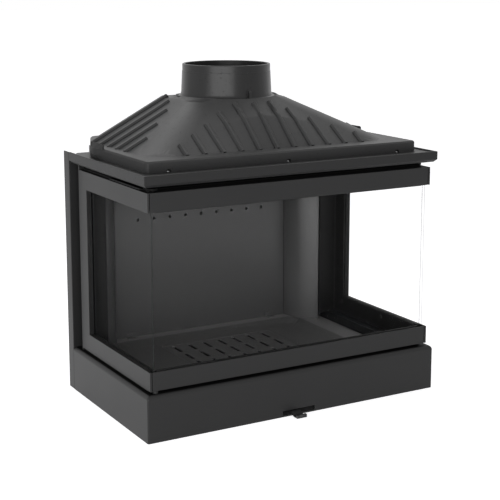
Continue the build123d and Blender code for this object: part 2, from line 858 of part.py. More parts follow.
# Hinge: a pin on the plinth under the door, and a bracket with a pin over it
with BuildPart() as lower_hinge_pin:
    with Locations((pivot_x, pivot_y, (plinth_height + frame_bottom) / 2)):
        Cylinder(hinge_collar_radius, frame_bottom - plinth_height)
    with Locations((pivot_x, pivot_y, frame_bottom + hinge_engagement / 2)):
        Cylinder(hinge_radius, hinge_engagement)
save(lower_hinge_pin, "lower_hinge_pin")

bracket_bottom = roof_base + wash_plate
with BuildPart() as upper_hinge:
    with BuildSketch(Plane.XY.offset(bracket_bottom)):
        with Locations((pivot_x, pivot_y)):
            Circle(hinge_collar_radius + hinge_margin)
        with Locations((pivot_x, (pivot_y + roof_y) / 2)):
            Rectangle(2 * (hinge_collar_radius + hinge_margin), roof_y - pivot_y)
    extrude(amount=hinge_plate)
    with Locations((pivot_x, pivot_y, (bracket_bottom + door_top - hinge_engagement) / 2)):
        Cylinder(hinge_radius, bracket_bottom - door_top + hinge_engagement)
save(upper_hinge, "upper_hinge")


# Deck: an inverted cast tray with a bevelled foot, a shallow recess on top, the smoke opening and a
# narrower tongue at the back, under the rear of the hood
with BuildPart() as top_deck:
    block((-half_width, half_width), (front, front + plinth_depth), (deck_bottom, deck_top))
    foot = top_deck.faces().sort_by(Axis.Z)[0].edges()
    chamfer([e for e in foot if e.center().Y < front + plinth_depth - 1], deck_bevel)
    with BuildSketch(Plane.XY.offset(deck_bottom)):
        with BuildLine():
            Polyline(*tongue_outline(0, frame_rear), close=True)
        make_face()
    extrude(amount=deck_seat - deck_bottom)
    block((-half_width + deck_wall, half_width - deck_wall),
          (front + deck_wall, front + plinth_depth - deck_wall),
          (deck_bottom + deck_wall, deck_underside), Mode.SUBTRACT)
    block((-half_width + deck_return + deck_bevel, half_width - deck_return - deck_bevel),
          (front + deck_return + deck_bevel, front + plinth_depth - deck_wall),
          (deck_bottom, deck_underside), Mode.SUBTRACT)
    with BuildSketch(Plane.XY.offset(deck_bottom)):
        with BuildLine():
            Polyline(*tongue_outline(deck_wall, frame_rear), close=True)
        make_face()
    extrude(amount=deck_underside - deck_bottom, mode=Mode.SUBTRACT)
    block((-half_width + deck_rim, half_width - deck_rim), (front + deck_rim, front + plinth_depth),
          (deck_seat, deck_top), Mode.SUBTRACT)
    block((-half_width + deck_opening_margin, half_width - deck_opening_margin),
          (front + deck_opening_front, front + plinth_depth - deck_opening_back),
          (deck_underside, deck_seat), Mode.SUBTRACT)
    block((-tongue_rear_half + deck_opening_back, tongue_rear_half - deck_opening_back),
          (front + deck_opening_front, rear - deck_opening_back), (deck_underside, deck_seat), Mode.SUBTRACT)
    with BuildSketch(Plane.XY.offset(deck_seat - deck_corner_cut_depth)):
        for side, _ in SIDES:
            with BuildLine():
                Polyline(
                    (side * (half_width - deck_rim), front + plinth_depth - deck_corner_cut_y),
                    (side * (half_width - deck_corner_cut_x), front + plinth_depth),
                    (side * (half_width - deck_rim), front + plinth_depth),
                    close=True,
                )
            make_face()
    extrude(amount=deck_corner_cut_depth, mode=Mode.SUBTRACT)
    rim = top_deck.faces().sort_by(Axis.Z)[-1].edges()
    fillet([e for e in rim if e.center().Y < front + plinth_depth - 1], deck_rim_round)
save(top_deck, "top_deck")

# Back lining with its row of air holes, standing on the hearth's ledge
with BuildPart() as back_lining:
    block((-lining_half, lining_half), (front + lining_front, front + lining_front + lining_plate),
          (ledge_top, lining_top))
    for index in range(air_hole_count):
        x = (index - (air_hole_count - 1) / 2) * air_hole_pitch
        with Locations(Plane((x, front + lining_front, air_hole_height), z_dir=(0, -1, 0))):
            Hole(air_hole_radius, depth=lining_plate)
save(back_lining, "back_lining")

# Corner linings: curved plates between the back lining and the jambs
for side, word in SIDES:
    start = (side * jamb_inner, front + corner_front)
    end = (side * (lining_half + lining_seam), front + lining_front)
    with BuildPart() as corner_lining:
        with BuildSketch(Plane.XY.offset(ledge_top)):
            with BuildLine():
                inner = SagittaArc(start, end, side * corner_bulge)
                offset(inner, amount=lining_plate, side=Side.LEFT if side < 0 else Side.RIGHT)
            make_face()
        extrude(amount=lining_top - ledge_top)
    save(corner_lining, f"{word}_corner_lining")

# Clips that hold the foot of the back lining
with BuildPart() as lining_clips:
    for side, _ in SIDES:
        block((side * clip_x - clip_width / 2, side * clip_x + clip_width / 2),
              (front + lining_front - clip_sheet, front + lining_front), (ledge_top, ledge_top + clip_height))
        block((side * clip_x - clip_width / 2, side * clip_x + clip_width / 2),
              (front + lining_front - clip_foot, front + lining_front), (ledge_top, ledge_top + clip_sheet))
save(lining_clips, "lining_clips")

# Brackets that carry the back lining off the rear wall
with BuildPart() as lining_brackets:
    for side, _ in SIDES:
        span = (side * bracket_x - bracket_width / 2, side * bracket_x + bracket_width / 2)
        lower_z = lining_top - 2 * bracket_height
        back = front + lining_front + lining_plate
        block(span, (back, rear - casing_sheet), (lower_z, lower_z + bracket_height))
        block(span, (back + bracket_sheet, rear - casing_sheet - bracket_sheet),
              (lower_z + bracket_sheet, lower_z + bracket_height), Mode.SUBTRACT)
save(lining_brackets, "lining_brackets")

# Baffle plate over the fire, with the two shelves that carry it
shelf_wall = roof_half - roof_wall
with BuildPart() as baffle_rails:
    for side, _ in SIDES:
        block(facing(side, rail_shelf_inner, shelf_wall),
              (front + baffle_front - rail_start, front + frame_rear), (lining_top, lining_top + rail_sheet))
        block(facing(side, shelf_wall - rail_sheet, shelf_wall),
              (front + baffle_front - rail_start, front + frame_rear), (lining_top, lining_top + rail_height))
save(baffle_rails, "baffle_rails")

with BuildPart() as baffle_plate:
    with BuildSketch(Plane.XY.offset(lining_top + rail_sheet)):
        with BuildLine():
            Polyline(
                (-baffle_half, front + baffle_front),
                (-baffle_half, front + baffle_rear - baffle_corner_cut_y),
                (-baffle_half + baffle_corner_cut_x, front + baffle_rear),
                (baffle_half - baffle_corner_cut_x, front + baffle_rear),
                (baffle_half, front + baffle_rear - baffle_corner_cut_y),
                (baffle_half, front + baffle_front),
                close=True,
            )
        make_face()
    extrude(amount=baffle_thickness)
    fillet(baffle_plate.edges().filter_by(Axis.Z), baffle_corner)
save(baffle_plate, "baffle_plate")


def hood_foot(inset):
    """Plan corners of the hood's foot, drawn in by a wall."""
    side_x = foot_half - inset
    return [
        (-side_x, front + hood_margin_front + inset),
        (-side_x, front + flange_straight),
        (-side_x + flange_rear_cut, front + flange_rear - inset),
        (side_x - flange_rear_cut, front + flange_rear - inset),
        (side_x, front + flange_straight),
        (side_x, front + hood_margin_front + inset),
    ]


def slope_foot(inset):
    """Plan corners of the foot of the slopes, drawn in by a wall."""
    side_x = slope_half - inset
    return [
        (-side_x, front + slope_front + inset),
        (-side_x, front + slope_straight),
        (-side_x + slope_rear_cut, front + slope_rear - inset),
        (side_x - slope_rear_cut, front + slope_rear - inset),
        (side_x, front + slope_straight),
        (side_x, front + slope_front + inset),
    ]


def slope_head(inset):
    """Plan corners of the top of the slopes, edge for edge with their foot."""
    side_x = head_half - inset
    return [
        (-side_x, front + head_front + inset),
        (-side_x, front + head_straight),
        (-side_x + head_rear_cut, front + head_rear - inset),
        (side_x - head_rear_cut, front + head_rear - inset),
        (side_x, front + head_straight),
        (side_x, front + head_front + inset),
    ]


# Smoke hood: a casting with an upright foot, hipped slopes with straight ribs, and a round neck
foot_half = half_width - hood_margin_side
foot_notch_x = foot_half - foot_notch_margin
slope_half = half_width - slope_side
flue_y = front + flue_centre
hood_inset = hood_wall / 2
flange_radii = (flange_corner,) + (flange_rear_corner,) * 4 + (flange_corner,)
slope_radii = (slope_corner,) + (slope_rear_corner,) * 4 + (slope_corner,)
head_radii = (head_corner,) + (head_rear_corner,) * 4 + (head_corner,)
front_run = head_front - slope_front
side_run = slope_half - head_half
neck_front = flue_centre - neck_radius - slope_front
rib_runs = []
ribs_each_way = int((slope_half - slope_corner) // rib_pitch)
for index in range(-ribs_each_way, ribs_each_way + 1):
    x = index * rib_pitch
    reach = min(front_rib_gain * (slope_half - front_rib_hip - abs(x)), neck_front - front_rib_margin)
    if abs(x) < neck_rib_half:
        reach = neck_rib_knee
        round_y = ((neck_radius + neck_rib_out) ** 2 - x ** 2) ** 0.5
        rib_runs.append((
            (x, front + slope_front + reach, slope_base + slope_rise * reach / front_run - rib_sink),
            (x, flue_y - round_y, collar_base - neck_rib_down - rib_sink),
        ))
    rib_runs.append((
        (x, front + slope_front, slope_base - rib_sink),
        (x, front + slope_front + reach, slope_base + slope_rise * reach / front_run - rib_sink),
    ))
for index in range(side_ribs):
    y = front + slope_front + side_rib_start + index * rib_pitch
    round_x = (neck_radius ** 2 - (y - flue_y) ** 2) ** 0.5
    hip_reach = side_rib_gain * (side_rib_start + index * rib_pitch - side_rib_hip)
    reach = min(hip_reach, slope_half - round_x - side_rib_margin)
    for side, _ in SIDES:
        rib_runs.append((
            (side * slope_half, y, slope_base - rib_sink),
            (side * (slope_half - reach), y, slope_base + slope_rise * reach / side_run - rib_sink),
        ))
with BuildPart() as hood:
    with BuildSketch(Plane.XY.offset(deck_seat)):
        with BuildLine():
            FilletPolyline(*hood_foot(0), radius=flange_radii, close=True)
        make_face()
    extrude(amount=flange_top - deck_seat)
    chamfer(hood.faces().sort_by(Axis.Z)[-1].edges(), flange_edge)
    with BuildSketch(Plane.XY.offset(slope_base)):
        with BuildLine():
            FilletPolyline(*slope_foot(0), radius=slope_radii, close=True)
        make_face()
    with BuildSketch(Plane.XY.offset(head_level)):
        with BuildLine():
            FilletPolyline(*slope_head(0), radius=head_radii, close=True)
        make_face()
    loft(ruled=True)
    for foot_point, head_point in rib_runs:
        run = Vector(*head_point) - Vector(*foot_point)
        with BuildSketch(Plane(foot_point, z_dir=run)):
            RegularPolygon(rib_radius, rib_faces, rotation=180 / rib_faces)
        extrude(amount=run.length)
    with BuildSketch(Plane.XZ.offset(-flue_y)):
        with BuildLine():
            Polyline(
                (0, collar_base),
                (neck_radius, collar_base),
                *((neck_radius + out, collar_base - down) for out, down in neck_steps),
                (0, collar_base - neck_steps[-1][1]),
                close=True,
            )
        make_face()
    revolve(axis=Axis((0, flue_y, 0), (0, 0, -1)), revolution_arc=180)
    with Locations((0, flue_y, head_level + neck_height / 2)):
        Cylinder(neck_radius, neck_height)
    with BuildSketch(Plane.XY.offset(deck_seat)):
        with BuildLine():
            FilletPolyline(*hood_foot(hood_wall), radius=flange_radii, close=True)
        make_face()
    extrude(amount=flange_top - hood_wall - deck_seat, mode=Mode.SUBTRACT)
    with BuildSketch(Plane.XY.offset(slope_base - hood_wall)):
        with BuildLine():
            FilletPolyline(*slope_foot(hood_inset), radius=slope_radii, close=True)
        make_face()
    with BuildSketch(Plane.XY.offset(head_level - hood_wall)):
        with BuildLine():
            FilletPolyline(*slope_head(hood_inset), radius=head_radii, close=True)
        make_face()
    loft(ruled=True, mode=Mode.SUBTRACT)
    with Locations((0, flue_y, collar_base - neck_bore_depth / 2)):
        Cylinder(hood_bore, neck_bore_depth, mode=Mode.SUBTRACT)
    for x in (-foot_notch_x, 0, foot_notch_x):
        with Locations(Plane((x, front + hood_margin_front, deck_seat + 1), z_dir=(0, 1, 0))):
            Cylinder(notch_radius, 2 * notch_depth, mode=Mode.SUBTRACT)
    with BuildSketch(Plane.XY.offset(lug_bottom)):
        for side, _ in SIDES:
            with BuildLine():
                Polyline(
                    (side * (foot_half - hood_wall / 2), front + lug_front),
                    (side * foot_half, front + lug_front),
                    (side * (foot_half + lug_reach), front + lug_front + 2 * lug_reach),
                    (side * (foot_half + lug_reach), front + lug_front + 2 * lug_reach + lug_flat),
                    (side * foot_half, front + lug_rear),
                    (side * (foot_half - hood_wall / 2), front + lug_rear),
                    close=True,
                )
            make_face()
    extrude(amount=lug_below + lug_above)
    lug_faces = [f for f in hood.faces() if f.normal_at().Z > 0.99 and abs(f.center().Z - lug_top) < 0.1]
    chamfer([e for f in lug_faces for e in f.edges()], lug_edge)
save(hood, "hood")

# Screws in the notches along the front of the hood's foot
with BuildPart() as hood_screws:
    with BuildSketch(Plane.XY.offset(deck_seat)):
        with Locations((0, front + hood_margin_front + notch_depth / 2)):
            with GridLocations(foot_notch_x, 0, 3, 1):
                RegularPolygon(notch_radius / 2, 6)
    extrude(amount=screw_head_height)
save(hood_screws, "hood_screws")

# Flue collar: a drafted ring with a flared foot, a straight land for the pipe, a gusset at the front
# and back, and a spigot that drops into the hood
gusset_tip = collar_radius + gusset_reach
with BuildPart() as flue_collar:
    with BuildSketch(Plane.XZ.offset(-flue_y)):
        with BuildLine():
            Polyline(
                (flue_bore, collar_base - spigot_length),
                (hood_bore - spigot_fit, collar_base - spigot_length),
                (hood_bore - spigot_fit, collar_base),
                (collar_radius + collar_flare, collar_base),
                (collar_radius + collar_flare / 3, collar_base + collar_flare / 3),
                (collar_radius, collar_base + collar_flare),
                (flue_radius + land_step, flue_top - flue_land),
                (flue_radius, flue_top - flue_land),
                (flue_radius, flue_top),
                (flue_bore, flue_top),
                close=True,
            )
        make_face()
    revolve(axis=Axis((0, flue_y, 0), (0, 0, 1)))
    with BuildSketch(Plane((0, flue_y, collar_base), x_dir=(0, 1, 0), z_dir=(1, 0, 0))):
        with BuildLine():
            Polyline(
                (-gusset_tip, 0),
                (gusset_tip, 0),
                (gusset_tip - gusset_draft, gusset_shoulder),
                (collar_radius - gusset_width / 2, gusset_height),
                (-collar_radius + gusset_width / 2, gusset_height),
                (-gusset_tip + gusset_draft, gusset_shoulder),
                close=True,
            )
        make_face()
    extrude(amount=gusset_width / 2, both=True)
    with Locations((0, flue_y, flue_top)):
        Cylinder(flue_bore, 2 * (flue_top - collar_base + spigot_length) + 2, mode=Mode.SUBTRACT)
    rim = flue_collar.faces().sort_by(Axis.Z)[-1].edges()
    chamfer(rim, lip_edge)
save(flue_collar, "flue_collar")
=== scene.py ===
import json
from math import copysign, pi, radians

import bpy
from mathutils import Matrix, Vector

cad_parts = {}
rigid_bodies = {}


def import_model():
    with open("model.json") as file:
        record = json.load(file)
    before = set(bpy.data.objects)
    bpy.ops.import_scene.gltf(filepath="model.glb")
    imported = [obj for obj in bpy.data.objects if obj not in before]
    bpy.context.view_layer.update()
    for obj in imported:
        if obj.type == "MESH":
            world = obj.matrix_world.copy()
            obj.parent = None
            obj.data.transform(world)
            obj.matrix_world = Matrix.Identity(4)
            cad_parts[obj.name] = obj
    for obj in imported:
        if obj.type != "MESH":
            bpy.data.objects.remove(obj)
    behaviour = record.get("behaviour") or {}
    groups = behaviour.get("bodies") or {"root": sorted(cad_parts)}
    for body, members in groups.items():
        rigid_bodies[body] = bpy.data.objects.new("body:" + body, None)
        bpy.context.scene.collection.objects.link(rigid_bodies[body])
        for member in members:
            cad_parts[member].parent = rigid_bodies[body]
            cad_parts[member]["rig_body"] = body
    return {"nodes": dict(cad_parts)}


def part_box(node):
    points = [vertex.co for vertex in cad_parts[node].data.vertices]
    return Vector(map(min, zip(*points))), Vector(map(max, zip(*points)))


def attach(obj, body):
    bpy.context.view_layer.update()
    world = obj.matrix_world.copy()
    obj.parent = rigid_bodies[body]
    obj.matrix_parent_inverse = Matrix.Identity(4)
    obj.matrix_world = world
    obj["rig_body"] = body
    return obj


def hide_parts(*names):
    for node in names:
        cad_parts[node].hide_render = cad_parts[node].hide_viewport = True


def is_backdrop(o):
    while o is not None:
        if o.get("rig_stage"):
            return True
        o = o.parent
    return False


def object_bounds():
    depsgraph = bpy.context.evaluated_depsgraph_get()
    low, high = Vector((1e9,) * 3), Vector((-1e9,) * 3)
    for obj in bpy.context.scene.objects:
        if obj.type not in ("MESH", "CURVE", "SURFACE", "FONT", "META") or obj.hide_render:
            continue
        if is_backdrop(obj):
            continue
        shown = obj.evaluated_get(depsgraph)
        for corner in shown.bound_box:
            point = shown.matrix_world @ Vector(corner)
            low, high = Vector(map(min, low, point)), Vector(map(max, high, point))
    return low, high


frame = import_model()
cad_low, cad_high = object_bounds()
nodes = frame["nodes"]

# Plinth: a skirt of 3 mm sheet, folded at the corners and rolled over at the top, with a slot for the
# air lever. Its outer faces are sprayed with a matt dark grey heat-proof paint of a fine, even grain,
# with a painted highlight along the folds. Its faces set in from the skirt are painted black, as shade.


class Output:
    """One output of a node; arithmetic on it adds Math nodes."""

    def __init__(self, shading, socket):
        self.shading = shading
        self.socket = socket

    def combine(self, operation, first, second):
        return self.shading.node("ShaderNodeMath", {"operation": operation}, {0: first, 1: second})

    def __add__(self, other):
        return self.combine("ADD", self, other)

    def __radd__(self, other):
        return self.combine("ADD", other, self)

    def __sub__(self, other):
        return self.combine("SUBTRACT", self, other)

    def __rsub__(self, other):
        return self.combine("SUBTRACT", other, self)

    def __mul__(self, other):
        return self.combine("MULTIPLY", self, other)

    def __rmul__(self, other):
        return self.combine("MULTIPLY", other, self)

    def __pow__(self, other):
        return self.combine("POWER", self, other)

    def __abs__(self):
        return self.shading.node("ShaderNodeMath", {"operation": "ABSOLUTE"}, {0: self})

    def larger(self, other):
        return self.combine("MAXIMUM", self, other)

    def step(self, low, high):
        """Nought below low, one above high, and a smooth rise between them."""
        return self.shading.node("ShaderNodeMapRange", {"interpolation_type": "SMOOTHSTEP"},
                                 {"Value": self, "From Min": low, "From Max": high})


class Shading:
    """The nodes that lead to one closing shader, of a material or of the world."""

    def __init__(self, tree, shader):
        self.tree = tree
        self.shader = tree.nodes[shader]

    def feed(self, socket, value):
        if isinstance(value, Output):
            self.tree.links.new(value.socket, socket)
        else:
            socket.default_value = value

    def node(self, kind, settings=None, inputs=None, output=0):
        """A new node with its settings, then the values or links of its sockets."""
        made = self.tree.nodes.new(kind)
        for name, value in (settings or {}).items():
            if name == "stops":
                for stop, (position, colour) in zip(made.color_ramp.elements, value):
                    stop.position = position
                    stop.color = colour
            else:
                setattr(made, name, value)
        for name, value in (inputs or {}).items():
            self.feed(made.inputs[name], value)
        return Output(self, made.outputs[output])

    def set(self, socket, value):
        self.feed(self.shader.inputs[socket], value)


class Finish(Shading):
    """A material that is built up node by node around one Principled shader."""

    def __init__(self, name, metallic=0.0, specular=0.5):
        self.material = bpy.data.materials.new(name)
        self.material.use_nodes = True
        super().__init__(self.material.node_tree, "Principled BSDF")
        self.set("Metallic", metallic)
        self.set("Specular IOR Level", specular)
        self.place = self.node("ShaderNodeTexCoord", output="Object")

    def axis(self, letter):
        """The X, Y or Z of the place on the piece, in metres."""
        return self.node("ShaderNodeSeparateXYZ", None, {"Vector": self.place}, letter)

    def noise(self, scale, detail=2.0, roughness=0.5, place=None):
        sockets = {"Scale": scale, "Detail": detail, "Roughness": roughness}
        return self.node("ShaderNodeTexNoise", None, {"Vector": place or self.place, **sockets})

    def stretched(self, x, y, z):
        """The place with each axis scaled, for a pattern that is longer one way."""
        return self.node("ShaderNodeMapping", None, {"Vector": self.place, "Scale": (x, y, z)})

    def ramp(self, value, first, last):
        """The colours between two stops, each a position and a colour."""
        return self.node("ShaderNodeValToRGB", {"stops": (first, last)}, {"Fac": value})

    def blend(self, factor, first, second):
        colour_output = 2
        return self.node("ShaderNodeMix", {"data_type": "RGBA"},
                         {"Factor": factor, "A": first, "B": second}, colour_output)

    def bump(self, height, distance, strength):
        return self.node("ShaderNodeBump", None,
                         {"Height": height, "Distance": distance, "Strength": strength})

    def edge_highlight(self, radius):
        """One on the edges of a piece and nought on its flats, from how far a rounded normal leans; for
        painted highlights.
        """
        rounded = self.node("ShaderNodeBevel", {"samples": 6}, {"Radius": radius})
        true = self.node("ShaderNodeNewGeometry", output="Normal")
        level = self.node("ShaderNodeVectorMath", {"operation": "DOT_PRODUCT"},
                          {0: rounded, 1: true}, "Value")
        return (1 - level).step(0.01, 0.25)


def grey(level):
    """A neutral grey for a colour socket."""
    return (level, level, level * 1.01, 1)


window_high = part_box("right_side_frame")[1]
firebox_side, firebox_back = window_high.x - 0.0008, window_high.y - 0.0003
jamb_side, jamb_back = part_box("right_column")[0].x - 0.0015, window_high.y + 0.008
pan_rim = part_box("floor_pan")[1].z
bar_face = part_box("door_bottom_bar")[0].y


def inside_firebox(paint):
    """One on the faces between the windows, the door bars, the jambs and the floor pan's rim, for
    painted shade.
    """
    across, back, up = (paint.axis(letter) for letter in "XYZ")
    side = firebox_side - (firebox_side - jamb_side) * back.step(firebox_back, firebox_back + 0.0002)
    between = 1 - (abs(across) - side).step(-0.0004, 0)
    behind_bars = back.step(bar_face + 0.0012, bar_face + 0.0020)
    before_jambs = 1 - back.step(jamb_back - 0.001, jamb_back)
    return between * behind_bars * before_jambs * up.step(pan_rim - 0.0015, pan_rim)


def sheet_paint(name, level, inner_shade_level, specular):
    """Sprayed sheet steel of soft patches and fine grain; painted highlights on folds, painted shade in
    the firebox.
    """
    paint = Finish(name, specular=specular)
    inside = inside_firebox(paint)
    patches = paint.noise(6.0, 4.0, 0.6)
    grain = paint.noise(1500.0, 2.0, 0.6)
    peel = paint.noise(260.0, 2.0, 0.5)
    tone = paint.blend(patches, grey(level * 0.90), grey(level * 1.12))
    # painted highlight: the folds and edges are lightened
    tone = paint.blend(paint.edge_highlight(0.0020) * 0.7, tone, grey(level * 4.0))
    tone = paint.blend(grain.step(0.60, 0.74) * 0.35, tone, grey(level * 1.9))
    # painted shade: faces inside the firebox are darkened nearly to black
    paint.set("Base Color", paint.blend(inside * 0.92, tone, grey(inner_shade_level)))
    paint.set("Roughness", 0.36 + patches * 0.10 + inside * 0.22)
    paint.set("Normal", paint.bump(grain + peel * 2.0, 0.00002, 0.3))
    return paint.material


def merged_copy(source):
    """A copy of a CAD node with its loose triangles joined, selected and in edit mode."""
    bpy.ops.object.select_all(action="DESELECT")
    piece = bpy.data.objects.new(f"{source}_skin", nodes[source].data.copy())
    bpy.context.collection.objects.link(piece)
    bpy.context.view_layer.objects.active = piece
    piece.select_set(True)
    bpy.ops.object.mode_set(mode="EDIT")
    bpy.ops.mesh.select_all(action="SELECT")
    bpy.ops.mesh.remove_doubles(threshold=0.00001)
    return piece


def skin(source, edge, finish, turn=30, reshape=None):
    """A copy of a CAD node with flat faces made whole and sharp edges rounded, in its place.

    Edges that turn by more than the angle turn, in degrees, are rounded to the width edge, and reshape
    may then move the copy's vertices.
    """
    piece = merged_copy(source)
    bpy.ops.mesh.dissolve_limited(angle_limit=radians(0.6))
    bpy.ops.object.mode_set(mode="OBJECT")
    rounding = piece.modifiers.new("rounding", "BEVEL")
    rounding.width = edge
    rounding.segments = 2
    rounding.limit_method = "ANGLE"
    rounding.angle_limit = radians(turn)
    bpy.ops.object.modifier_apply(modifier="rounding")
    if reshape:
        reshape(piece)
    bpy.ops.object.shade_smooth_by_angle(angle=radians(turn))
    flats = piece.modifiers.new("flats", "WEIGHTED_NORMAL")
    flats.keep_sharp = True
    bpy.ops.object.modifier_apply(modifier="flats")
    piece.data.materials.clear()
    piece.data.materials.append(finish)
    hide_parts(source)
    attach(piece, nodes[source]["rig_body"])
    return piece


steel_paint = sheet_paint("steel_paint", 0.0145, 0.004, 0.22)
# painted shade: a near-black paint for faces in the gaps and under the deck
painted_shade_black = sheet_paint("painted_shade_black", 0.004, 0.003, 0.03)
plinth = skin("plinth", 0.0006, steel_paint)
plinth_low, plinth_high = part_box("plinth")
skirt_depth = 0.007
# painted shade: the plinth's faces set in from its skirt get the near-black paint
plinth.data.materials.append(painted_shade_black)
for face in plinth.data.polygons:
    from_side, from_front = plinth_high.x - abs(face.center.x), face.center.y - plinth_low.y
    face.material_index = int(min(from_side, from_front) >= skirt_depth)

# Columns and rear casing: the upright channels behind the windows and the bent wall around the back,
# folded from sheet and sprayed like the plinth. The columns' outer webs run on up behind the ends of
# the deck.
for source in ("left_column", "right_column"):
    skin(source, 0.0012, steel_paint)
skin("rear_casing", 0.0008, steel_paint)

# Floor pan, ash box and pan, air slide and all rails: welded and folded sheet, left in its rolled skin,
# which is blue-grey and streaked along the rolling direction, with duller patches where it was handled.
mill_dark, mill_bright = (0.020, 0.021, 0.023, 1), (0.050, 0.051, 0.054, 1)
mill = Finish("mill_steel", metallic=0.85)
streaks = mill.noise(24.0, 5.0, 0.65, mill.stretched(0.25, 3.0, 3.0))
handled = mill.noise(7.0, 3.0, 0.6).step(0.45, 0.65)
mill.set("Base Color", mill.blend(streaks, mill_dark, mill_bright))
mill.set("Roughness", 0.34 + streaks * 0.16 + handled * 0.12)
rolled = mill.noise(700.0, 2.0, 0.5, mill.stretched(0.1, 1.0, 1.0))
mill.set("Normal", mill.bump(rolled, 0.00003, 0.5))
for source, edge in (("floor_pan", 0.0006), ("ash_box", 0.0005), ("ash_pan", 0.0004),
                     ("air_slide", 0.0004), ("slide_rails", 0.0004), ("baffle_rails", 0.0004)):
    skin(source, edge, mill.material)

# Hearth plate and grate: thick sand castings laid in the floor pan. Their skin keeps the grain of the
# sand, with shallow dimples and pits, and their corners are rounded. The iron is left grey and is paler
# on the hearth's rim; the grate is painted black below its face, as shade in its slots.


def casting(name, level, specular, roughness, dimple=1.5, dull_side=None, shade_below=None, rim=None):
    """Sand casting: coarse grain, shallow dimples, pits, and a painted highlight on its rounded corners.

    It may be duller beyond the half width dull_side, painted black as shade below the height
    shade_below, and paler above the height rim.
    """
    iron = Finish(name, specular=specular)
    patches = iron.noise(9.0, 5.0, 0.6)
    sand = iron.noise(620.0, 3.0, 0.65)
    dimples = iron.noise(85.0, 2.0, 0.5)
    pits = iron.noise(190.0, 1.0, 0.5).step(0.66, 0.74)
    tone = iron.blend(patches, grey(level * 0.84), grey(level * 1.16))
    # painted highlight on the rounded corners
    tone = iron.blend(iron.edge_highlight(0.0024) * 0.6, tone, grey(level * 2.6))
    tone = iron.blend(pits * 0.7, tone, grey(level * 0.4))
    rough = roughness + patches * 0.10 + pits * 0.1
    # painted shade: black below a given height, in the grate's slots
    if shade_below:
        tone = iron.blend(iron.axis("Z").step(shade_below - 0.003, shade_below), grey(0.003), tone)
    if rim:
        tone = iron.blend(iron.axis("Z").step(rim - 0.002, rim), tone, grey(level * 1.9))
    if dull_side:
        rough = rough + abs(iron.axis("X")).step(dull_side - 0.006, dull_side) * 0.35
    iron.set("Base Color", tone)
    iron.set("Roughness", rough)
    iron.set("Normal", iron.bump(sand + dimples * dimple - pits * 1.2, 0.00012, 0.45))
    return iron.material


hearth_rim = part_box("hearth_plate")[1].z - 0.0005
grate_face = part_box("grate")[1].z - 0.0012
hearth_iron = casting("hearth_iron", 0.105, 0.30, 0.42, rim=hearth_rim)
grate_iron = casting("grate_iron", 0.110, 0.28, 0.46, shade_below=grate_face)
skin("hearth_plate", 0.0016, hearth_iron)
skin("grate", 0.0010, grate_iron)

# Linings: flat and curved plates of 5 mm steel that stand around the fire, held by clips at the foot and
# brackets behind. They are sprayed dark grey, with painted light making them paler near the foot,
# painted shade making them darker towards the head, and painted highlights along the edges. Smoke has
# not marked them yet.
foot_from, foot_to = 0.08, 0.34
head_from, head_to = 0.36, 0.46
lining = Finish("lining_paint")
up = lining.axis("Z")
spray = lining.noise(5.0, 4.0, 0.6)
speckle = lining.noise(900.0, 2.0, 0.6)
# painted light makes the foot paler, and painted shade darkens the head
foot = 1 - up.step(foot_from, foot_to)
head = up.step(head_from, head_to)
spray_and_painted_light = lining.blend(foot, lining.blend(spray, grey(0.040), grey(0.048)), grey(0.056))
spray_and_painted_light = lining.blend(head, spray_and_painted_light, grey(0.022))
# painted highlight along the edges
lining.set("Base Color", lining.blend(lining.edge_highlight(0.003) * 0.8, spray_and_painted_light, grey(0.150)))
lining.set("Roughness", 0.34 + spray * 0.10 + foot * 0.06 + head * 0.2)
lining.set("Normal", lining.bump(speckle, 0.00001, 0.15))
for source in ("back_lining", "left_corner_lining", "right_corner_lining"):
    skin(source, 0.0008, lining.material)
for source in ("lining_clips", "lining_brackets"):
    skin(source, 0.0005, lining.material)

# Side window frames: two bars and a rear post each, rebated from inside for the glass and sprayed like
# the plinth. Their faces inside the firebox are painted near black, as shade. Sheet retainers, painted
# too, hold the glass in.
for source in ("left_side_frame", "right_side_frame", "left_glass_retainer", "right_glass_retainer"):
    skin(source, 0.0005, steel_paint)

# Rope and tape seals: dark ceramic fibre, braided into strips that the frames are bedded on and into
# the thin tape under each pane. The braid shows as short slanting stitches.
rope = Finish("woven_seal", specular=0.12)
plait = rope.node("ShaderNodeTexWave", {"bands_direction": "DIAGONAL"},
                  {"Vector": rope.place, "Scale": 190.0, "Distortion": 1.2, "Detail": 2.0})
fuzz = rope.noise(1400.0, 3.0, 0.7)
rope.set("Base Color", rope.blend(plait, grey(0.010), grey(0.040)))
rope.set("Roughness", 0.92)
rope.set("Normal", rope.bump(plait + fuzz * 0.5, 0.0005, 0.8))
for source, edge in (("frame_seals", 0.0012), ("roof_seals", 0.0005), ("door_seal", 0.0012),
                     ("left_glass_tape", 0.0002), ("right_glass_tape", 0.0002)):
    skin(source, edge, rope.material)

# Panes: 4 mm clear glass-ceramic, with ground edges and small arrises that look dark and a little
# green. Seen square on, the pane is almost invisible; only a slanting look finds a reflection in it.
pane_dark = (0.010, 0.011, 0.011, 1)
ground_dark, ground_pale = (0.008, 0.011, 0.010, 1), (0.020, 0.025, 0.023, 1)
square_on = 0.9
clear = Finish("clear_glass")
facing = clear.node("ShaderNodeLayerWeight", None, {"Blend": 0.35}, "Facing")
smears = clear.noise(7.0, 3.0, 0.6).step(0.35, 0.75)
clear.set("Base Color", pane_dark)
clear.set("Roughness", 0.05 + smears * 0.03)
clear.set("Alpha", 0.008 + facing ** 4.0 * 0.025 + smears * 0.003)
ground = Finish("ground_edge", specular=0.15)
frost = ground.noise(900.0, 2.0, 0.5)
ground.set("Base Color", ground.blend(frost, ground_dark, ground_pale))
ground.set("Roughness", 0.5 + frost * 0.2)
ground.set("Alpha", 0.28 + frost * 0.12)
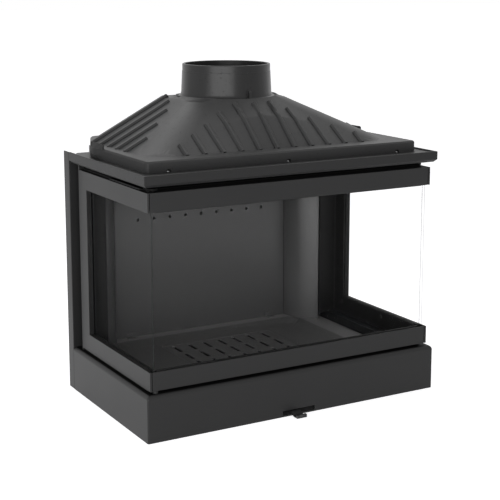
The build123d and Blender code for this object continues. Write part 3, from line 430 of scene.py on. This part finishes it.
for source, through_pane in (("door_glass", Vector((0, 1, 0))), ("left_side_glass", Vector((1, 0, 0))),
                             ("right_side_glass", Vector((1, 0, 0)))):
    pane = skin(source, 0.0006, clear.material)
    pane.data.materials.append(ground.material)
    for face in pane.data.polygons:
        face.material_index = int(abs(face.normal.dot(through_pane)) < square_on)

# Front door: two closed bars with a face plate, joined only by the pane, sheet retainers behind it and a
# catch tab, all sprayed like the plinth. It hangs on a turned pin below and a hinge block above. The
# block and the cross members that the door closes on are painted black, as shade, and a spring clip
# grips the tab.
for source in ("door_bottom_bar", "door_top_bar", "door_bottom_retainer", "door_top_retainer",
               "catch_tab"):
    skin(source, 0.0005, steel_paint)
# painted shade: the cross members and the hinge block are near black
for source in ("door_sill", "door_header", "upper_hinge"):
    skin(source, 0.0005, painted_shade_black)
turned = Finish("turned_steel", metallic=0.6)
rings = turned.noise(260.0, 2.0, 0.5, turned.stretched(0.2, 0.2, 6.0))
turned.set("Base Color", turned.blend(rings, grey(0.012), grey(0.030)))
turned.set("Roughness", 0.55 + rings * 0.14)
turned.set("Normal", turned.bump(rings, 0.00003, 0.5))
skin("lower_hinge_pin", 0.0004, turned.material)
skin("catch_clip", 0.0003, turned.material)

# Hexagon-head screws: each has a rolled flange under a chamfered, slightly dished head. Those in the
# foot of the hood are zinc-plated. Those of the side and door retainers are dark, like the pin.
door_glass_low, door_glass_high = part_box("door_glass")
zinc = Finish("zinc_plate", metallic=1.0)
bloom = zinc.noise(320.0, 3.0, 0.6)
zinc.set("Base Color", zinc.blend(bloom, grey(0.13), grey(0.26)))
zinc.set("Roughness", 0.34 + bloom * 0.16)
zinc.set("Normal", zinc.bump(bloom, 0.00003, 0.5))


def screw_head():
    """One hexagon head of radius 1 and height 1, standing on the origin along +Z, on its flange."""
    bpy.ops.object.select_all(action="DESELECT")
    bpy.ops.mesh.primitive_cylinder_add(vertices=32, radius=1.12, depth=0.22, location=(0, 0, 0.11))
    flange = bpy.context.object
    soft = flange.modifiers.new("soft", "BEVEL")
    soft.width = 0.07
    soft.segments = 2
    bpy.ops.object.modifier_apply(modifier="soft")
    bpy.ops.object.select_all(action="DESELECT")
    bpy.ops.mesh.primitive_cylinder_add(vertices=6, radius=0.98, depth=0.66, location=(0, 0, 0.53))
    head = bpy.context.object
    bpy.ops.object.mode_set(mode="EDIT")
    bpy.ops.mesh.select_mode(type="FACE")
    bpy.ops.mesh.select_all(action="DESELECT")
    bpy.ops.object.mode_set(mode="OBJECT")
    for face in head.data.polygons:
        face.select = face.normal.z > square_on
    bpy.ops.object.mode_set(mode="EDIT")
    bpy.ops.mesh.extrude_region_move(TRANSFORM_OT_translate={"value": (0, 0, 0.14)})
    bpy.ops.transform.resize(value=(0.84, 0.84, 1))
    bpy.ops.mesh.inset(thickness=0.14, depth=0)
    bpy.ops.mesh.inset(thickness=0.16, depth=-0.08)
    bpy.ops.object.mode_set(mode="OBJECT")
    soft = head.modifiers.new("soft", "BEVEL")
    soft.width = 0.03
    soft.segments = 1
    bpy.ops.object.modifier_apply(modifier="soft")
    flange.select_set(True)
    head.select_set(True)
    bpy.context.view_layer.objects.active = head
    bpy.ops.object.join()
    bpy.ops.object.transform_apply(location=True, rotation=True, scale=True)
    bpy.ops.object.shade_smooth_by_angle(angle=radians(30))
    return head


def solids_of(source):
    """The lowest and highest corner of each separate solid of a CAD node."""
    merged_copy(source)
    bpy.ops.mesh.separate(type="LOOSE")
    bpy.ops.object.mode_set(mode="OBJECT")
    corners = []
    for solid in list(bpy.context.selected_objects):
        along_axes = list(zip(*(vertex.co for vertex in solid.data.vertices)))
        corners.append(([min(places) for places in along_axes], [max(places) for places in along_axes]))
        bpy.data.objects.remove(solid)
    return sorted(corners)


def inwards(middle):
    """From a side window towards the middle of the firebox."""
    return Vector((1 if middle.x < 0 else -1, 0, 0))


def towards_pane(middle):
    """From the foot of a door retainer towards the middle of the pane."""
    pane_middle = (door_glass_low.z + door_glass_high.z) / 2
    return Vector((0, 0, 1 if middle.z < pane_middle else -1))


def upwards(middle):
    """From the foot of the hood, wherever the screw stands."""
    return Vector((0, 0, 1))


pattern = screw_head()
for source, facing_way, metal in (("retainer_screws", inwards, turned),
                                  ("door_screws", towards_pane, turned),
                                  ("hood_screws", upwards, zinc)):
    group = []
    for low, high in solids_of(source):
        low, high = Vector(low), Vector(high)
        middle = (low + high) / 2
        way = facing_way(middle)
        height = abs((high - low).dot(way))
        radius = max(high - low) / 2
        head = pattern.copy()
        head.data = pattern.data.copy()
        bpy.context.collection.objects.link(head)
        head.rotation_euler = way.to_track_quat("Z", "Y").to_euler()
        head.scale = (radius, radius, height)
        head.location = middle - way * height / 2
        group.append(head)
    bpy.ops.object.select_all(action="DESELECT")
    for head in group:
        head.select_set(True)
    bpy.context.view_layer.objects.active = group[0]
    bpy.ops.object.join()
    screws = bpy.context.object
    bpy.ops.object.transform_apply(location=True, rotation=True, scale=True)
    screws.name = f"{source}_heads"
    screws.data.materials.append(metal.material)
    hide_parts(source)
    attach(screws, nodes[source]["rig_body"])
bpy.data.objects.remove(pattern)

# Air lever: a flat bar from the slide, set down through the plinth's slot, with a folded grip. It is
# sprayed black, and the grip is rubbed a little brighter by hands.
lever_paint = Finish("lever_paint", specular=0.3)
grip = 1 - lever_paint.axis("Y").step(cad_low.y + 0.002, cad_low.y + 0.014)
rubbed = grip * lever_paint.noise(90.0, 3.0, 0.6).step(0.42, 0.62)
lever_paint.set("Base Color", lever_paint.blend(rubbed * 0.6, grey(0.010), grey(0.050)))
lever_paint.set("Roughness", 0.46 - rubbed * 0.12)
lever_paint.set("Normal", lever_paint.bump(lever_paint.noise(900.0), 0.00003, 0.4))
skin("air_lever", 0.0006, lever_paint.material)

# Roof of the firebox: a welded ring and a thin air-wash lip over the glass, painted black as shade, and
# a pressed vermiculite board on two shelves, sandy and flaked, with crumbly corners.
for source in ("roof_frame", "air_wash_plate"):
    skin(source, 0.0006, painted_shade_black)
board_brown, board_sand = (0.26, 0.21, 0.15, 1), (0.55, 0.48, 0.37, 1)
board = Finish("vermiculite", specular=0.08)
flakes = board.node("ShaderNodeTexVoronoi", {"feature": "F1"},
                    {"Vector": board.place, "Scale": 210.0}, "Color")
flake = board.node("ShaderNodeSeparateColor", None, {"Color": flakes}, "Red")
crumbs = board.noise(420.0, 4.0, 0.7)
mottle = flake * 0.6 + crumbs * 0.4
board.set("Base Color", board.ramp(mottle, (0.2, board_brown), (0.8, board_sand)))
board.set("Roughness", 0.88 + crumbs * 0.1)
board.set("Normal", board.bump(flake + crumbs, 0.0006, 0.5))
skin("baffle_plate", 0.0015, board.material)

# Deck: a shallow inverted tray, cast with a bevelled foot and a low rim, that roofs the firebox. It is
# fettled smoother than the hood and sprayed in the same dark grey as the plinth.
skin("top_deck", 0.0006, casting("deck_iron", 0.012, 0.22, 0.38, 0.6))

# Smoke hood: the large casting on the deck, with hipped slopes, straight strengthening ribs and a round
# neck. The founder's sand leaves it finely grained, and its corners are rounded. Its slopes sweep up
# into the neck, its rear leans in and its lugs lie low, each a little more than on the solid.
deck_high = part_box("top_deck")[1]
collar_low, collar_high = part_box("flue_collar")
flange_top, flange_side = deck_high.z + 0.020, deck_high.x - 0.025
slope_foot, slope_rise = flange_top - 0.002, 0.092
slope_head = slope_foot + slope_rise
slope_side, slope_front = 0.054, 0.092
foot_radius, head_radius = 0.060, 0.045
foot_centre = Vector((deck_high.x - slope_side - foot_radius, plinth_low.y + slope_front + foot_radius))
head_centre = Vector((0.082, 0.046))
slope_end, slope_rear, rear_draft = 0.151, 0.231, 0.008
rear_lean = 0.023
lug_out, lug_over = flange_side + 0.001, flange_top + 0.0002
lug_drawn_in, lug_left_over = 0.45, 0.06
neck_y = (collar_low.y + collar_high.y) / 2
neck_radius, neck_top = 0.115, slope_head + 0.004
neck_steps = ((0, 0), (0.003, 0.008), (0.009, 0.015), (0.020, 0.025), (0.042, 0.050))
neck_profile = [(neck_radius + out, neck_top - down) for out, down in neck_steps]
sweep_profile = ((0.106, 0.6780), (0.110, 0.6705), (0.115, 0.6640), (0.121, 0.6580), (0.128, 0.6520),
                 (0.136, 0.6460), (0.145, 0.6398), (0.155, 0.6332), (0.166, 0.6262), (0.180, 0.6174),
                 (0.210, 0.5990))
sweep_inner, sweep_outer = neck_radius - 0.0005, 0.215
sweep_rear, sweep_fade = neck_y + 0.110, 0.060
sweep_ease = 0.016
casting_skin = 0.0015
fields_low, fields_rear, overhang = flange_top + 0.0005, sweep_rear + 0.010, -0.1
field, fields_aside, fields_ahead, fields_behind = 0.006, 34, 13, 32
highest_share, halvings = 1.3, 18


def along(profile, radius):
    """Height of a turned profile at a radius, with its last run carried on."""
    for (inner, high), (outer, low) in zip(profile, profile[1:]):
        if radius < outer or outer == profile[-1][0]:
            return high + (low - high) * (radius - inner) / (outer - inner)


def slopes_at(x, y):
    """Height of the hood's front and side slopes over a place, with their rounded corners.

    The level outline shrinks from the foot to the head, so the height is found by halving.
    """
    low, high = 0.0, highest_share
    for halving in range(halvings):
        share = (low + high) / 2
        centre = foot_centre.lerp(head_centre, share)
        radius = foot_radius + (head_radius - foot_radius) * share
        apart = Vector((max(abs(x) - centre.x, 0), max(centre.y - y, 0)))
        at_corner = apart.x and apart.y
        beyond = (apart.length if at_corner else max(apart)) - radius
        if beyond < 0:
            low = share
        else:
            high = share
    return slope_foot + slope_rise * low


def swept_height(x, y, z):
    """The height of a place on the hood once its slopes sweep up into the neck."""
    radius = Vector((x, y - neck_y)).length
    slope = min(slopes_at(x, y), slope_head)
    if y >= sweep_rear or not sweep_inner < radius < sweep_outer or z <= slope - casting_skin:
        return z
    before = max(slope, along(neck_profile, radius))
    rising = along(sweep_profile, radius)
    ease = max(0, sweep_ease - abs(slope - rising)) ** 2 / (4 * sweep_ease)
    share = min(1, (sweep_rear - y) / sweep_fade)
    return z + (max(slope, rising) + ease - before) * share


def lean_rear(place):
    """Draw the rear slope in towards the neck, the more the higher the place is."""
    rise = (place.z - slope_foot) / slope_rise
    if 0 < rise < 1.01 and place.y > slope_end:
        share = min(1, (place.y - slope_end) / (slope_rear - rear_draft * rise - slope_end))
        place.y -= rear_lean * rise * share


def lower_lug(place):
    """Draw a lug in towards the flange and press it down on it."""
    reach = abs(place.x) - lug_out
    if reach > 0:
        place.x -= copysign(reach * lug_drawn_in, place.x)
        if place.z > lug_over:
            place.z = lug_over + (place.z - lug_over) * lug_left_over


def shape_hood(piece):
    """Cut the slopes into small fields, sweep them up into the neck, and shape the rear and lugs."""
    for face in piece.data.polygons:
        on_top = face.center.z > fields_low and face.normal.z > overhang
        face.select = on_top and face.center.y < fields_rear
    bpy.ops.object.mode_set(mode="EDIT")
    bpy.ops.mesh.select_mode(type="FACE")
    bpy.ops.mesh.hide(unselected=True)
    for axis, first, last in (((1, 0, 0), -fields_aside, fields_aside),
                              ((0, 1, 0), -fields_ahead, fields_behind)):
        for index in range(first, last + 1):
            bpy.ops.mesh.bisect(plane_co=[part * index * field for part in axis], plane_no=axis)
            bpy.ops.mesh.select_all(action="SELECT")
    bpy.ops.mesh.reveal()
    bpy.ops.object.mode_set(mode="OBJECT")
    for vertex in piece.data.vertices:
        vertex.co.z = swept_height(*vertex.co)
        lean_rear(vertex.co)
        lower_lug(vertex.co)


hood_iron = casting("hood_iron", 0.019, 0.29, 0.40, dull_side=flange_side - 0.002)
skin("hood", 0.0012, hood_iron, 32, shape_hood)

# Flue collar: a drafted ring with a straight land for the pipe, a flared foot, and a gusset in front and
# behind. Its lip is rounded over, and it is smoother and a little glossier than the hood.
collar_iron = casting("collar_iron", 0.013, 0.24, 0.27, 0.8)
skin("flue_collar", 0.0016, collar_iron, 28)

# Studio: a plain white floor that keeps the object's shadow, and a white room around it. Camera,
# mirror and see-through rays find them white. Under the plinth the floor is painted dark, as shade, and
# gives no glow.
bpy.ops.object.select_all(action="DESELECT")
bpy.ops.mesh.primitive_plane_add(size=60, location=(0, 0, 0))
floor = bpy.context.object
floor.name = "floor"
floor_glow, room_light = 0.68, 0.42
shade_edge = 0.004
shade_rear_from, shade_rear_to = 0.10, 0.12
pale = Finish("pale_floor", specular=0.1)
back = pale.axis("Y")
aside = abs(pale.axis("X")).step(plinth_high.x - shade_edge, plinth_high.x)
ahead = 1 - back.step(plinth_low.y, plinth_low.y + shade_edge)
behind = back.step(shade_rear_from, shade_rear_to)
# painted shade: the floor under the plinth is darkened
under_plinth_shade = (1 - aside) * (1 - ahead) * (1 - behind)


def looked_at(shading):
    """One where the eye, a mirror or clear glass looks, and nought for the light that it gives."""
    eye, mirror, glass = (shading.node("ShaderNodeLightPath", output=f"Is {ray} Ray")
                          for ray in ("Camera", "Glossy", "Transmission"))
    return eye.larger(mirror).larger(glass)


pale.set("Base Color", pale.blend(under_plinth_shade, grey(0.86), grey(0.10)))
pale.set("Roughness", 0.9)
pale.set("Emission Color", grey(floor_glow))
pale.set("Emission Strength", looked_at(pale) * (1 - under_plinth_shade))
floor.data.materials.append(pale.material)
floor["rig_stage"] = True

world = bpy.data.worlds.new("studio")
bpy.context.scene.world = world
world.use_nodes = True
room = Shading(world.node_tree, "Background")
room.set("Color", (1, 1, 1, 1))
room.set("Strength", looked_at(room).larger(room_light))


def soft_lamp(name, place, aim, width, height, power):
    """A large flat lamp pointed at a place."""
    lamp = bpy.data.lights.new(name, "AREA")
    lamp.shape = "RECTANGLE"
    lamp.size = width
    lamp.size_y = height
    lamp.energy = power
    holder = bpy.data.objects.new(name, lamp)
    bpy.context.collection.objects.link(holder)
    holder.location = place
    holder.rotation_euler = (Vector(aim) - Vector(place)).to_track_quat("-Z", "Y").to_euler()


soft_lamp("left_window", (-3.4, 0.4, 1.2), (0, 0, 0.5), width=3.6, height=1.8, power=6)
soft_lamp("camera_side", (-2.19, -2.52, 0.75), (0, 0, 0.6), width=3.8, height=1.5, power=90)
soft_lamp("overhead", (0.3, 0.9, 2.8), (0, 0, 0.5), width=3.0, height=2.4, power=17)
soft_lamp("high_window", (0.15, 1.7, 2.4), (-0.2, -0.05, 0.6), width=0.6, height=0.6, power=3)

# Camera: at the photograph's height and angle, ahead and to the left of the plinth. It looks down a
# little, and a vertical shift of its picture keeps the upright edges nearly upright.
camera_left, camera_ahead, camera_height = 1.35926, 2.16381, 0.93
look_down, look_right = 0.1786, 0.5195
focal_pixels, picture_pixels = 1242.16, 500
sensor_width = 36
eye = bpy.data.cameras.new("camera")
eye.sensor_width = sensor_width
eye.lens = focal_pixels / picture_pixels * sensor_width
eye.shift_y = -0.10
eye.clip_start = 0.05
viewer = bpy.data.objects.new("camera", eye)
bpy.context.collection.objects.link(viewer)
viewer.location = (-camera_left, plinth_low.y - camera_ahead, camera_height)
viewer.rotation_euler = (pi / 2 - look_down, 0, -look_right)
bpy.context.scene.camera = viewer
bpy.context.scene.view_settings.view_transform = "Standard"

low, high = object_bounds()
